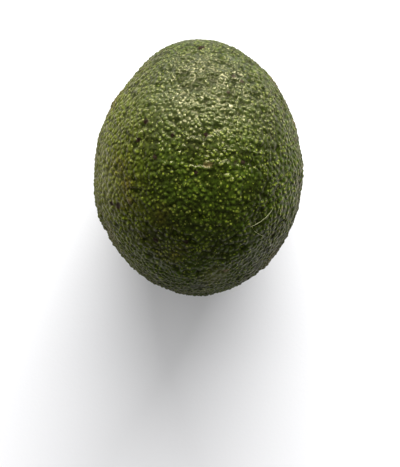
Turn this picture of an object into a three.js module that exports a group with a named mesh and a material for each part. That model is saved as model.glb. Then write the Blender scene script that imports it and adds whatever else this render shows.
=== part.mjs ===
// A whole avocado lying on its side, as it comes off a market stall: one fruit
// with pebbled skin, and the dry button of its stem in the shallow hollow at
// the narrow end.
//
// Millimetres, +Z up, resting on z = 0. The stem end points along +Y and dips
// by a few degrees, because an egg-shaped fruit settles with its weight over
// the place where it touches the table.
//
// The skin is a net of pebbles. Spots are spread over the fruit by the golden
// angle and nudged at random, the convex hull of the spots says which ones are
// neighbours, and each spot then rises as a pebble out of the valleys that run
// between it and the spots around it.

import * as THREE from 'three';
import { ConvexHull } from 'three/addons/math/ConvexHull.js';

// The fruit's size
const FRUIT_LENGTH = 87; // from the blossom end to the stem end
const FRUIT_WIDTH = 70; // across, at its widest
const FRUIT_DEPTH = 68.6; // through, a little less than across

// How the outline departs from an ellipse, by powers of the station along the
// fruit, which runs from -1 at the blossom end to 1 at the stem end
const TAPER = [ 0.9958, - 0.0827, - 0.0575, 0.0625, - 0.085 ];

// How far the stem end leans to one side, and the stations where the lean starts
// and where it is whole
const LEAN = 1.2;
const LEAN_START = 0.1;
const LEAN_END = 0.65;

// Broad, low swellings that run over the whole fruit: height, the waves in one
// radius along x, y and z, and the phase
const SWELLINGS = [
	{ height: 0.30, waves: new THREE.Vector3( 2.1, 1.4, - 1.7 ), phase: 0.6 },
	{ height: 0.22, waves: new THREE.Vector3( - 3.2, 2.6, 2.9 ), phase: 2.1 },
	{ height: 0.17, waves: new THREE.Vector3( 4.4, 5.3, - 2.3 ), phase: 4.0 },
	{ height: 0.12, waves: new THREE.Vector3( - 5.1, 6.9, 6.2 ), phase: 5.2 },
];

// The pebbles
const PEBBLE_COUNT = 1800;
const PEBBLE_NUDGE = 0.34; // of the spacing, the furthest that a spot strays
const PEBBLE_STEEPNESS = 0.46; // a pebble's rise, as a share of its radius
const VALLEY_DEPTH = 0.56;
const PEBBLE_SEED = 20711;

// The hollow that the stem stands in, with its own rings of spots
const HOLLOW_RADIUS = 8.2;
const HOLLOW_FLOOR_RADIUS = 4.6;
const HOLLOW_DEPTH = 2.5;
const HOLLOW_RING_STEP = 1.35;

// The small dimple at the blossom end
const DIMPLE_RADIUS = 6;
const DIMPLE_DEPTH = 0.7;

// The stem button: a dry disc, a waist, and the rim of the broken stem
const BUTTON_GAP = 0.05; // of air under the middle of the button, where it comes away
const BUTTON_SIDES = 28;
const BUTTON_WOBBLE = 0.05; // of the radius, as a dry disc is never quite round
const BUTTON_PROFILE = [ // radius, height above the button's underside
	[ 0, 0 ], [ 2.6, 0 ], [ 3.5, 0.2 ], [ 3.7, 0.5 ], [ 3.35, 0.8 ], [ 2.75, 0.95 ],
	[ 2.6, 1.2 ], [ 2.4, 1.4 ], [ 1.7, 1.45 ], [ 0.9, 1.2 ], [ 0, 1.05 ],
];

// The spot that the fruit rests on
const REST_SINK = 0.55; // how far the skin there is pressed flat
const REST_REACH = 17; // from the middle of the spot to where the pebbles are whole

const HALF_LENGTH = FRUIT_LENGTH / 2;
const HALF_WIDTH = FRUIT_WIDTH / 2;
const HALF_DEPTH = FRUIT_DEPTH / 2;
const GOLDEN_ANGLE = Math.PI * ( 3 - Math.sqrt( 5 ) );
const STEM_POLE = new THREE.Vector3( 0, 1, 0 );
const BLOSSOM_POLE = new THREE.Vector3( 0, - 1, 0 );

// A repeatable stream of numbers from 0 to 1
function seededRandom( seed ) {

	let state = seed;

	return () => {

		state = ( state + 0x6D2B79F5 ) | 0;
		let mixed = Math.imul( state ^ ( state >>> 15 ), 1 | state );
		mixed = ( mixed + Math.imul( mixed ^ ( mixed >>> 7 ), 61 | mixed ) ) ^ mixed;
		return ( ( mixed ^ ( mixed >>> 14 ) ) >>> 0 ) / 4294967296;

	};

}

// The outline's departure from an ellipse at a station
function taperAt( station ) {

	return TAPER.reduce( ( sum, factor, power ) => sum + factor * station ** power, 0 );

}

// How far the fruit's axis has leant aside at a station
function leanAt( station ) {

	return LEAN * THREE.MathUtils.smoothstep( station, LEAN_START, LEAN_END );

}

// The square of the fruit's radius at a station, as a share of the half width
function girthSquared( station ) {

	return ( 1 - station ** 2 ) * taperAt( station ) ** 2;

}

// A direction is a unit vector that names a place on the fruit. This is the
// way out of the skin there.
function outwardAt( direction ) {

	const taper = taperAt( direction.y );

	return new THREE.Vector3(
		direction.x / ( HALF_WIDTH * taper ),
		direction.y / HALF_LENGTH,
		direction.z / ( HALF_DEPTH * taper ),
	).normalize();

}

// 1 at a place on the fruit, falling smoothly to 0 at the given distance from it
function closeTo( place, direction, reach ) {

	const distance = direction.angleTo( place ) * HALF_WIDTH * taperAt( place.y );

	return 1 - THREE.MathUtils.smoothstep( distance, 0, reach );

}

// How far the stem's hollow has sunk at a direction: a flat floor and a wall
// that eases out into the skin
function hollowAt( direction ) {

	const distance = direction.angleTo( STEM_POLE ) * HALF_WIDTH * taperAt( 1 );

	return HOLLOW_DEPTH * ( 1 - THREE.MathUtils.smoothstep( distance, HOLLOW_FLOOR_RADIUS, HOLLOW_RADIUS ) );

}

// The height of the broad swellings at a direction
function swellingAt( direction ) {

	return SWELLINGS.reduce( ( sum, { height, waves, phase } ) =>
		sum + height * Math.sin( waves.dot( direction ) + phase ), 0 );

}

// The place on the fruit that a direction names, at a rise over the valleys.
// The pebbles fade out round the stem and where the fruit rests.
function skinPoint( direction, rise ) {

	const taper = taperAt( direction.y );
	const nearStem = closeTo( STEM_POLE, direction, 2 * HOLLOW_RADIUS );
	const nearRest = closeTo( pose.restPlace, direction, REST_REACH );
	const dimple = DIMPLE_DEPTH * closeTo( BLOSSOM_POLE, direction, DIMPLE_RADIUS );
	const relief = ( 1 - nearRest ) * ( rise - VALLEY_DEPTH );
	const raised = ( 1 - nearStem ) * ( swellingAt( direction ) + relief ) - hollowAt( direction ) - dimple;

	return new THREE.Vector3(
		HALF_WIDTH * taper * direction.x + leanAt( direction.y ),
		HALF_LENGTH * direction.y,
		HALF_DEPTH * taper * direction.z,
	).addScaledVector( outwardAt( direction ), raised );

}

// The direction that lies an angle away from the stem's pole, at a turn round it
function directionAt( fromStem, turn ) {

	return new THREE.Vector3(
		Math.sin( fromStem ) * Math.cos( turn ),
		Math.cos( fromStem ),
		Math.sin( fromStem ) * Math.sin( turn ),
	);

}

// Rings of spots that shape the stem's hollow, the first of them at its middle
function hollowSpots() {

	const spots = [ STEM_POLE.clone() ];

	for ( let radius = HOLLOW_RING_STEP; radius < HOLLOW_RADIUS; radius += HOLLOW_RING_STEP ) {

		const count = Math.round( 2 * Math.PI * radius / HOLLOW_RING_STEP );

		for ( let i = 0; i < count; i ++ ) {

			const turn = 2 * Math.PI * ( i + radius ) / count;
			spots.push( directionAt( radius / ( HALF_WIDTH * taperAt( 1 ) ), turn ) );

		}

	}

	return spots;

}

// The pebbles' spots, all over the rest of the skin
function pebbleSpots() {

	const random = seededRandom( PEBBLE_SEED );
	const nudge = PEBBLE_NUDGE * Math.sqrt( 4 * Math.PI / PEBBLE_COUNT );
	const hollowEdge = ( HOLLOW_RADIUS + HOLLOW_RING_STEP / 2 ) / ( HALF_WIDTH * taperAt( 1 ) );
	const spots = [];

	for ( let i = 0; i < PEBBLE_COUNT; i ++ ) {

		const fromStem = Math.acos( 1 - ( 2 * i + 1 ) / PEBBLE_COUNT );
		const spot = directionAt( fromStem, i * GOLDEN_ANGLE );
		spot.x += nudge * ( 2 * random() - 1 );
		spot.y += nudge * ( 2 * random() - 1 );
		spot.z += nudge * ( 2 * random() - 1 );
		spot.normalize();

		if ( spot.angleTo( STEM_POLE ) > hollowEdge ) spots.push( spot );

	}

	return spots;

}

// The middle of some directions
function middleOf( directions ) {

	return directions.reduce( ( sum, direction ) => sum.add( direction ), new THREE.Vector3() ).normalize();

}

// The top of the pebble that the valleys' corners stand round
function pebbleTop( corners ) {

	const middle = middleOf( corners );
	const foot = skinPoint( middle, 0 );
	const radius = corners.reduce( ( sum, corner ) =>
		sum + foot.distanceTo( skinPoint( corner, 0 ) ), 0 ) / corners.length;

	return skinPoint( middle, PEBBLE_STEEPNESS * radius );

}

// A closed net over the spots. Each face of their hull has a corner of the
// valleys in its middle, and a valley runs between two neighbouring spots, from
// the corner on one side of the edge that they share to the corner on the other.
function pebbledNet( spots ) {

	const hull = new ConvexHull().setFromPoints( spots );
	const cornersRound = new Map( spots.map( ( spot ) => [ spot, [] ] ) );
	const cornerNumber = new Map();
	const edges = [];
	const points = [];

	for ( const face of hull.faces ) {

		const faceEdges = [ face.edge, face.edge.next, face.edge.prev ];
		const corner = middleOf( faceEdges.map( ( edge ) => edge.head().point ) );
		faceEdges.forEach( ( edge ) => cornersRound.get( edge.head().point ).push( corner ) );
		edges.push( ...faceEdges );
		cornerNumber.set( face, points.length );
		points.push( skinPoint( corner, 0 ) );

	}

	const topNumber = new Map( spots.map( ( spot, i ) => [ spot, points.length + i ] ) );
	points.push( ...spots.map( ( spot ) => pebbleTop( cornersRound.get( spot ) ) ) );

	const triangles = edges.flatMap( ( edge ) => [
		topNumber.get( edge.tail().point ),
		cornerNumber.get( edge.twin.face ),
		cornerNumber.get( edge.face ),
	] );

	const geometry = new THREE.BufferGeometry().setFromPoints( points );
	geometry.setIndex( triangles );
	return geometry;

}

// The station at which the fruit balances, for flesh of one density
function balanceStation() {

	const steps = 400;
	let volume = 0;
	let moment = 0;

	for ( let i = 0; i < steps; i ++ ) {

		const station = - 1 + ( 2 * i + 1 ) / steps;
		volume += girthSquared( station );
		moment += girthSquared( station ) * station;

	}

	return moment / volume;

}

// How the fruit lies: the angle by which its stem end dips, the height of its
// middle over the table, and the place on it that touches. That is where the
// line square to its skin passes through the point that it balances on.
function restingPose() {

	const balance = balanceStation();
	const slopeStep = 1e-4;
	const squareSlope = ( station ) => HALF_DEPTH ** 2 / HALF_LENGTH *
		( girthSquared( station + slopeStep ) - girthSquared( station - slopeStep ) ) / ( 4 * slopeStep );

	let low = - 0.5;
	let high = 0.5;

	while ( high - low > 1e-9 ) {

		const station = ( low + high ) / 2;
		if ( HALF_LENGTH * ( station - balance ) + squareSlope( station ) > 0 ) high = station;
		else low = station;

	}

	const radius = HALF_DEPTH * Math.sqrt( girthSquared( low ) );
	const dip = Math.atan( - squareSlope( low ) / radius );
	const height = radius * Math.cos( dip ) + HALF_LENGTH * low * Math.sin( dip ) - REST_SINK;

	const restPlace = new THREE.Vector3( 0, low, - Math.sqrt( 1 - low ** 2 ) );

	return { dip, height, restPlace };

}

// Presses flat whatever of the skin would reach through the table
function pressFlat( geometry ) {

	const down = new THREE.Vector3( 0, Math.sin( pose.dip ), - Math.cos( pose.dip ) );
	const position = geometry.attributes.position;
	const point = new THREE.Vector3();

	for ( let i = 0; i < position.count; i ++ ) {

		point.fromBufferAttribute( position, i );
		const through = point.dot( down ) - pose.height;
		if ( through > 0 ) point.addScaledVector( down, - through );
		position.setXYZ( i, point.x, point.y, point.z );

	}

}

// The fruit itself, in its own frame, with the stem's pole on +Y
function makeFruit() {

	const geometry = pebbledNet( [ ...hollowSpots(), ...pebbleSpots() ] );
	pressFlat( geometry );
	geometry.computeVertexNormals();

	const skin = new THREE.MeshStandardMaterial( { color: 0x3e5220, roughness: 0.42, flatShading: true } );
	const mesh = new THREE.Mesh( geometry, skin );
	mesh.name = 'fruit';
	return mesh;

}

// The dry button of the stem, seated over the hollow's floor
function makeStemButton() {

	const profile = BUTTON_PROFILE.map( ( [ radius, height ] ) => new THREE.Vector2( radius, height ) );
	const geometry = new THREE.LatheGeometry( profile, BUTTON_SIDES );
	const position = geometry.attributes.position;

	for ( let i = 0; i < position.count; i ++ ) {

		const turn = Math.atan2( position.getZ( i ), position.getX( i ) );
		const wobble = 1 + BUTTON_WOBBLE * ( Math.sin( 3 * turn + 0.7 ) + 0.5 * Math.sin( 7 * turn ) );
		position.setX( i, position.getX( i ) * wobble );
		position.setZ( i, position.getZ( i ) * wobble );

	}

	geometry.computeVertexNormals();

	const bark = new THREE.MeshStandardMaterial( { color: 0x6b4f35, roughness: 0.85 } );
	const mesh = new THREE.Mesh( geometry, bark );
	mesh.name = 'stem_button';
	mesh.position.x = LEAN;
	mesh.position.y = HALF_LENGTH - HOLLOW_DEPTH + BUTTON_GAP;
	return mesh;

}

// The avocado, tipped as it lies and set down with its middle over the origin
function makeAvocado() {

	const tipped = new THREE.Group();
	tipped.add( makeFruit(), makeStemButton() );
	tipped.rotation.x = - pose.dip;
	tipped.position.z = pose.height;

	const avocado = new THREE.Group();
	avocado.add( tipped );
	const box = new THREE.Box3().setFromObject( avocado, true );
	const middle = box.getCenter( new THREE.Vector3() );
	tipped.position.x -= middle.x;
	tipped.position.y -= middle.y;
	return avocado;

}

const pose = restingPose();

export default makeAvocado();
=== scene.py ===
"""A whole avocado on a white studio floor, seen from straight above.

The skin is one fine mesh, laid over the form of the CAD fruit: small pebbles run
together into ridges, and each face knows which pebble it lies on, so the rind's
material can set a yellow-green dot on the pebble's crown. Millimetres are used for
the object's own sizes, in a frame whose +Y runs to the stem end, and metres for
everything that is placed in the scene.
"""

import logging
import math
import random
from dataclasses import dataclass, field
from enum import Enum
from functools import partial
from itertools import combinations
from typing import Any, Callable, Iterable, NamedTuple, Sequence

import bpy
import numpy as np
from mathutils import Matrix, Vector, kdtree, noise


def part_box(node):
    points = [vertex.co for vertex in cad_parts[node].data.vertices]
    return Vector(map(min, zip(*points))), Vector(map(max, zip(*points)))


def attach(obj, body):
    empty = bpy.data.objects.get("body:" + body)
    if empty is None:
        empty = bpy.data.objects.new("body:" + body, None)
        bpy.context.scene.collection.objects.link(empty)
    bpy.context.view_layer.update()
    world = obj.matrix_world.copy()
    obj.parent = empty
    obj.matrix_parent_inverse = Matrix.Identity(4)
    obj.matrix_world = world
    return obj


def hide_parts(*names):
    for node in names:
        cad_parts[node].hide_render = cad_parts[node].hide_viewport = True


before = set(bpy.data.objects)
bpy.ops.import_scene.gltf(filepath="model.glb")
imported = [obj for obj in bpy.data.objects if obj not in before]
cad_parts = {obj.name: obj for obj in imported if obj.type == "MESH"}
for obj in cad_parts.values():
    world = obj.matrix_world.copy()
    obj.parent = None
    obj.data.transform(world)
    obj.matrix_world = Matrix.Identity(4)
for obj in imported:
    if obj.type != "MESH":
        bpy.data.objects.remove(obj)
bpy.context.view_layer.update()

log = logging.getLogger("avocado")

MM = 0.001
BODY = "root"
GOLDEN_ANGLE = math.pi * (3 - math.sqrt(5))


# The photograph's view, by which the blemishes are placed and the camera is set


@dataclass(frozen=True)
class PhotoView:
    """How the fruit stands in the picture, seen from straight above.

    Attributes:
        distance: from the camera to the plane of the fruit's outline, in metres.
        outline_height: height of that plane over the floor, in metres.
        frame_height: what the picture's long side spans on that plane, in metres.
        offset: where the camera stands over the floor, from the fruit's middle, in metres.
    """

    distance: float = 0.80
    outline_height: float = 0.034
    frame_height: float = 0.1567
    offset: tuple[float, float] = (0.0005, -0.0220)

    @property
    def eye(self) -> Vector:
        """The camera's place, in metres."""
        return Vector((*self.offset, self.outline_height + self.distance))


VIEW = PhotoView()


# Small helpers


def linear(colour: str) -> tuple[float, float, float, float]:
    """Turns an sRGB hex colour to linear values.

    Args:
        colour: six hex digits, such as "3e5220".

    Returns:
        Red, green, blue and an alpha of 1.
    """
    shares = [int(colour[i : i + 2], 16) / 255 for i in (0, 2, 4)]
    values = [c / 12.92 if c <= 0.04045 else ((c + 0.055) / 1.055) ** 2.4 for c in shares]
    return (*values, 1.0)


def ease(low: float, high: float, value: np.ndarray) -> np.ndarray:
    """A smooth step from 0 at low to 1 at high.

    Args:
        low: where the step starts.
        high: where it ends. It may lie below low, and the step then falls.
        value: the values to step.

    Returns:
        The steps, from 0 to 1.
    """
    share = np.clip((value - low) / (high - low), 0.0, 1.0)
    return share * share * (3 - 2 * share)


def noise_at(places: np.ndarray, size: float, seed: float) -> np.ndarray:
    """Soft noise, from about -1 to 1.

    Args:
        places: points in millimetres, one in each row.
        size: the width of one patch of the noise, in millimetres.
        seed: moves the noise to a patch of its own.

    Returns:
        One value for each point.
    """
    scaled = places / size + seed
    return np.fromiter((noise.noise(p) for p in scaled.tolist()), float, len(scaled))


def drift_at(places: np.ndarray, size: float, seed: float) -> np.ndarray:
    """Soft noise in three directions at once, from about -1 to 1.

    Args:
        places: points in millimetres, one in each row.
        size: the width of one patch of the noise, in millimetres.
        seed: moves the noise to a patch of its own.

    Returns:
        One row of three values for each point.
    """
    return np.stack([noise_at(places, size, seed + step) for step in (0.0, 31.4, 57.7)], 1)


def spread_directions(count: int, nudge: float, seed: int) -> np.ndarray:
    """Directions spread evenly by the golden angle, and nudged at random.

    Args:
        count: how many directions.
        nudge: the furthest that one strays, as a share of their spacing.
        seed: for the nudges.

    Returns:
        Unit directions, one in each row.
    """
    number = np.arange(count)
    along = 1 - (2 * number + 1) / count
    across = np.sqrt(1 - along**2)
    turn = number * GOLDEN_ANGLE
    even = np.stack([across * np.cos(turn), along, across * np.sin(turn)], 1)
    stray = np.random.default_rng(seed).uniform(-1, 1, even.shape)
    placed = even + stray * nudge * math.sqrt(4 * math.pi / count)
    return placed / np.linalg.norm(placed, axis=1, keepdims=True)


def link(piece: bpy.types.Object) -> bpy.types.Object:
    """Puts an object in the scene.

    Args:
        piece: a new object.

    Returns:
        The same object.
    """
    bpy.context.scene.collection.objects.link(piece)
    return piece


def mesh_object(name: str, vertices: np.ndarray, faces: Iterable[Sequence[int]]) -> bpy.types.Object:
    """Makes a smooth-shaded mesh object.

    Args:
        name: the object's name.
        vertices: places in metres.
        faces: vertex numbers of each face.

    Returns:
        The object, in the scene.
    """
    mesh = bpy.data.meshes.new(name)
    mesh.from_pydata(vertices.tolist(), [], [list(face) for face in faces])
    mesh.polygons.foreach_set("use_smooth", [True] * len(mesh.polygons))
    mesh.update()
    return link(bpy.data.objects.new(name, mesh))


def sphere_net(steps: int) -> tuple[np.ndarray, np.ndarray]:
    """Cuts an icosahedron's faces into small triangles and swells them to a sphere.

    Args:
        steps: into how many parts each edge of the icosahedron is cut.

    Returns:
        Unit directions, and three of their numbers for each triangle, turned outwards.
    """
    long = (1 + math.sqrt(5)) / 2
    corners = np.array(
        [
            np.roll((0.0, near, far), turn)
            for turn in range(3)
            for near in (-1.0, 1.0)
            for far in (-long, long)
        ]
    )
    apart = np.linalg.norm(corners[:, None] - corners, axis=2)
    joined = np.abs(apart - 2.0) < 1e-6
    big = [
        trio for trio in combinations(range(12), 3)
        if all(joined[pair] for pair in combinations(trio, 2))
    ]
    rows = [(i, j) for i in range(steps + 1) for j in range(steps + 1 - i)]
    number = {place: count for count, place in enumerate(rows)}
    small = []
    for i, j in rows:
        if i + j < steps:
            small.append((number[i, j], number[i + 1, j], number[i, j + 1]))
        if i + j < steps - 1:
            small.append((number[i + 1, j], number[i + 1, j + 1], number[i, j + 1]))
    share = np.array([(steps - i - j, i, j) for i, j in rows]) / steps
    places = np.concatenate([share @ corners[list(trio)] for trio in big])
    faces = np.concatenate([np.array(small) + len(rows) * count for count in range(len(big))])
    _, first, same = np.unique(
        places.round(6) + 0.0, axis=0, return_index=True, return_inverse=True
    )
    directions = places[first] / np.linalg.norm(places[first], axis=1, keepdims=True)
    faces = same.reshape(-1)[faces]
    a, b, c = (directions[faces[:, i]] for i in range(3))
    inward = np.einsum("ij,ij->i", np.cross(b - a, c - a), a + b + c) < 0
    faces[inward] = faces[inward][:, ::-1]
    return directions, faces


# The fruit's form, shared with the CAD solid


@dataclass(frozen=True)
class Swelling:
    """A broad, low wave over the whole fruit.

    Attributes:
        height: in millimetres.
        waves: how many waves lie in one radius, along x, y and z.
        phase: where the wave starts.
    """

    height: float
    waves: tuple[float, float, float]
    phase: float


@dataclass(frozen=True)
class FruitForm:
    """The egg shape of the fruit and how it lies, in millimetres.

    Attributes:
        half_sizes: half of its width, length and depth.
        taper: how the outline departs from an ellipse, by powers of the station.
        lean: how far the stem end leans to one side.
        lean_stations: where the lean starts and where it is whole.
        swellings: broad waves over the form.
        hollow_radius: reach of the stem's hollow.
        hollow_floor: radius of its flat floor.
        hollow_depth: how deep the floor lies.
        dimple_radius: reach of the dimple at the blossom end.
        dimple_depth: its depth.
        dip: angle by which the stem end dips, in degrees.
        middle_height: height of the form's middle over the floor.
        rest_station: where along the fruit it touches the floor.
    """

    half_sizes: tuple[float, float, float] = (35.0, 43.5, 34.3)
    taper: tuple[float, ...] = (0.9958, -0.0827, -0.0575, 0.0625, -0.085)
    lean: float = 1.2
    lean_stations: tuple[float, float] = (0.1, 0.65)
    swellings: tuple[Swelling, ...] = (
        Swelling(0.30, (2.1, 1.4, -1.7), 0.6),
        Swelling(0.22, (-3.2, 2.6, 2.9), 2.1),
        Swelling(0.17, (4.4, 5.3, -2.3), 4.0),
        Swelling(0.12, (-5.1, 6.9, 6.2), 5.2),
    )
    hollow_radius: float = 8.2
    hollow_floor: float = 4.6
    hollow_depth: float = 2.5
    dimple_radius: float = 6.0
    dimple_depth: float = 0.7
    dip: float = 7.858
    middle_height: float = 33.417
    rest_station: float = 0.0847

    def taper_at(self, station: np.ndarray) -> np.ndarray:
        """The outline's departure from an ellipse at each station."""
        return sum(factor * station**power for power, factor in enumerate(self.taper))

    def base(self, directions: np.ndarray) -> np.ndarray:
        """The plain form's points that some directions name.

        Args:
            directions: unit directions from the form's middle.

        Returns:
            Places in millimetres.
        """
        taper = self.taper_at(directions[:, 1])
        scale = np.stack([taper, np.ones_like(taper), taper], 1)
        points = directions * scale * np.array(self.half_sizes)
        points[:, 0] += self.lean * ease(*self.lean_stations, directions[:, 1])
        return points

    def outward(self, directions: np.ndarray) -> np.ndarray:
        """The way out of the skin at each direction.

        Args:
            directions: the points' directions.

        Returns:
            Unit directions.
        """
        taper = self.taper_at(directions[:, 1])
        scale = np.stack([taper, np.ones_like(taper), taper], 1)
        normal = directions / (scale * np.array(self.half_sizes))
        return normal / np.linalg.norm(normal, axis=1, keepdims=True)

    def distance_from(self, place: Sequence[float], directions: np.ndarray) -> np.ndarray:
        """How far each direction's point lies from a place on the fruit.

        Args:
            place: a unit direction.
            directions: the points' directions.

        Returns:
            Distances over the skin, in millimetres.
        """
        girth = self.half_sizes[0] * float(self.taper_at(np.array(place[1])))
        return np.arccos(np.clip(directions @ np.array(place), -1, 1)) * girth

    def from_stem(self, directions: np.ndarray) -> np.ndarray:
        """Distances from the stem's pole, in millimetres."""
        return self.distance_from((0.0, 1.0, 0.0), directions)

    def from_blossom(self, directions: np.ndarray) -> np.ndarray:
        """Distances from the blossom's pole, in millimetres."""
        return self.distance_from((0.0, -1.0, 0.0), directions)

    def from_rest(self, directions: np.ndarray) -> np.ndarray:
        """Distances from the spot that the fruit lies on, in millimetres."""
        place = (0.0, self.rest_station, -math.sqrt(1 - self.rest_station**2))
        return self.distance_from(place, directions)

    def broad_height(self, directions: np.ndarray) -> np.ndarray:
        """The height of the swellings less the hollow and the dimple.

        Args:
            directions: the points' directions.

        Returns:
            Heights in millimetres.
        """
        swelling = sum(
            wave.height * np.sin(directions @ np.array(wave.waves) + wave.phase)
            for wave in self.swellings
        )
        stem = self.from_stem(directions)
        hollow = self.hollow_depth * (1 - ease(self.hollow_floor, self.hollow_radius, stem))
        dimple = self.dimple_depth * (1 - ease(0, self.dimple_radius, self.from_blossom(directions)))
        return swelling * ease(0, 2 * self.hollow_radius, stem) - hollow - dimple

    def laid_down(self, points: np.ndarray) -> np.ndarray:
        """Tips points as the fruit lies and turns them to metres.

        Args:
            points: in millimetres, in the fruit's own frame.

        Returns:
            Points in metres over the floor, before they are moved along it.
        """
        tip = math.radians(-self.dip)
        turn = np.array(Matrix.Rotation(tip, 3, "X"))
        return (points @ turn.T + np.array([0, 0, self.middle_height])) * MM


# The pebbled relief


@dataclass(frozen=True)
class Fold:
    """A wrinkle of the skin, along a line in the photograph's view.

    Attributes:
        start: one end, in millimetres from the fruit's middle.
        end: the other end.
        width: half of its width, in millimetres.
        height: how far it stands up, in millimetres.
    """

    start: tuple[float, float]
    end: tuple[float, float]
    width: float
    height: float


@dataclass
class PebbledRelief:
    """A net of cells, each a pebble or a pit, with uneven ridges between them.

    Widths and heights are in millimetres, shares are of the depth, and a pair is a
    lowest and a highest value.

    Attributes:
        count: cells on the whole fruit, about 2 mm apart.
        nudge: how far they stray, as a share of their spacing.
        depth: from the highest crown to the deepest pit.
        sink: how far the relief as a whole is let into the form.
        ridges: the ridges' heights, as shares.
        bumps: the heights of the pebbles' middles, as shares.
        pits: the heights of the pits' middles, as shares.
        pitted: how many cells are pits, at the broad end and at the stem.
        pitted_from: places along the fruit between which one turns into the other.
        blend: over how far one ridge turns into the next.
        warps: patch width and height of the drifts that make the cells uneven.
        lumps: patch width and height of the lumps under the pebbles.
        waves: patch width and height of wider ones, drawn out across the fruit.
        strengths: patch width, middle and spread of the relief's own strength.
        flank: how much stronger it is on the flanks and the underside, as a share.
        flank_from: distances from the resting spot: none of that beyond the first, and
            all of it within the second.
        smooth_middle: middle of a stretch that grew smoother, in the form's own frame.
        smooth_reach: how far it reaches.
        seed: for all of it.
        form: the form that it lies on.
        middles: the cells' middles, once spread.
        height: the height of each cell's middle, as a share.
        traits: random numbers for each cell's dot, and the rise of its dome.
        tree: finds the cells by place.
    """

    count: int = 6000
    nudge: float = 0.42
    depth: float = 1.05
    sink: float = 0.33
    ridges: tuple[float, float] = (0.22, 0.50)
    bumps: tuple[float, float] = (0.62, 1.0)
    pits: tuple[float, float] = (-0.10, 0.20)
    pitted: tuple[float, float] = (0.08, 0.20)
    pitted_from: tuple[float, float] = (-6.0, 26.0)
    blend: float = 0.22
    warps: tuple[tuple[float, float], ...] = ((2.3, 0.62), (8.0, 1.3))
    lumps: tuple[float, float] = (4.6, 0.30)
    waves: tuple[float, float] = (7.5, 0.30)
    strengths: tuple[float, float, float] = (16.0, 0.80, 0.40)
    flank: float = 0.5
    flank_from: tuple[float, float] = (62.0, 47.0)
    smooth_middle: tuple[float, float, float] = (-3.0, -17.0, 30.0)
    smooth_reach: float = 13.0
    seed: int = 4177
    form: FruitForm = field(default_factory=FruitForm)
    middles: np.ndarray = field(init=False)
    height: np.ndarray = field(init=False)
    traits: np.ndarray = field(init=False)
    tree: kdtree.KDTree = field(init=False)

    def __post_init__(self) -> None:
        """Spreads the cells and gives each its own height and traits."""
        rng = np.random.default_rng(self.seed)
        self.middles = self.form.base(spread_directions(self.count, self.nudge, self.seed + 1))
        fewest, most = self.pitted
        share = fewest + (most - fewest) * ease(*self.pitted_from, self.middles[:, 1])
        is_pit = rng.uniform(0.0, 1.0, self.count) < share
        self.height = np.where(
            is_pit, rng.uniform(*self.pits, self.count), rng.uniform(*self.bumps, self.count)
        )
        self.traits = rng.uniform(0.0, 1.0, (self.count, 4))

        # high pebbles have high domes, and the smoother stretch has flatter ones
        smooth = self.smoothness(self.middles)
        self.traits[:, 3] = np.clip(0.55 + 0.45 * self.height, 0.5, 1.0) * (1 - 0.2 * smooth)
        middling = sum(self.ridges) / 2
        self.height = middling + (self.height - middling) * (1 - 0.45 * smooth)

        self.tree = kdtree.KDTree(self.count)
        for number, middle in enumerate(self.middles.tolist()):
            self.tree.insert(middle, number)
        self.tree.balance()

    def smoothness(self, points: np.ndarray) -> np.ndarray:
        """How much of the smoother stretch there is at each point, 0 to 1."""
        away = np.linalg.norm(points - np.array(self.smooth_middle), axis=1)
        return np.exp(-0.5 * (away / self.smooth_reach) ** 2)

    def warped(self, points: np.ndarray) -> np.ndarray:
        """Draws points aside, so that the cells come out uneven.

        Args:
            points: on the plain form.

        Returns:
            The points at which the cells are looked up.
        """
        (fine, little), (broad, much) = self.warps
        return points + little * drift_at(points, fine, 11.7) + much * drift_at(points, broad, 3.1)

    def ridge_between(self, own: np.ndarray, others: np.ndarray) -> np.ndarray:
        """The height of the ridge between a cell and each of its neighbours.

        Args:
            own: the cells' numbers.
            others: three neighbours of each, one row a cell.

        Returns:
            Shares of the depth, the same from both sides of a ridge.
        """
        first, second = np.minimum(own[:, None], others), np.maximum(own[:, None], others)
        mixed = (first * 7919 + second * 104729) % 9973 / 9973
        low, high = self.ridges
        return low + (high - low) * mixed

    def net_height(self, warped: np.ndarray) -> np.ndarray:
        """Finds how high the net stands at each point, from its cell and three neighbours.

        Args:
            warped: the points, drawn aside.

        Returns:
            Heights as shares of the depth.
        """
        found = [self.tree.find_n(p, 4) for p in warped.tolist()]
        number = np.array([[hit[1] for hit in hits] for hits in found])
        away = np.array([[hit[2] for hit in hits] for hits in found])
        own, others = number[:, 0], number[:, 1:]
        apart = np.linalg.norm(self.middles[own][:, None] - self.middles[others], axis=2)
        edge = (away[:, 1:] ** 2 - away[:, :1] ** 2) / (2 * apart)
        weight = np.exp(-(edge - edge.min(1, keepdims=True)) / self.blend)
        ridge = (weight * self.ridge_between(own, others)).sum(1) / weight.sum(1)
        share = edge.min(1) / (edge.min(1) + away[:, 0] + 1e-6)
        dome = 1 - (1 - share) ** 2.0
        return ridge + (self.height[own] - ridge) * dome

    def heights(self, directions: np.ndarray, points: np.ndarray) -> tuple[np.ndarray, np.ndarray]:
        """The relief's height at each point, and how much of a valley it lies in.

        Args:
            directions: the points' directions.
            points: the points on the plain form.

        Returns:
            Heights in millimetres, and 0 on high ground to 1 in a valley.
        """
        net = self.net_height(self.warped(points))
        from_rest = self.form.from_rest(directions)
        patch, middle, spread = self.strengths
        strength = middle + spread * noise_at(points, patch, 5.5)
        strength = strength * (1 + self.flank * ease(*self.flank_from, from_rest))
        width, rise = self.lumps
        lumps = rise * (1 - 0.7 * self.smoothness(points)) * noise_at(points, width, 27.3)
        width, rise = self.waves
        waves = rise * noise_at(points * np.array([0.62, 1.0, 1.0]), width, 51.9)
        height = strength * (self.depth * net + lumps) + waves - self.sink

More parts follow.
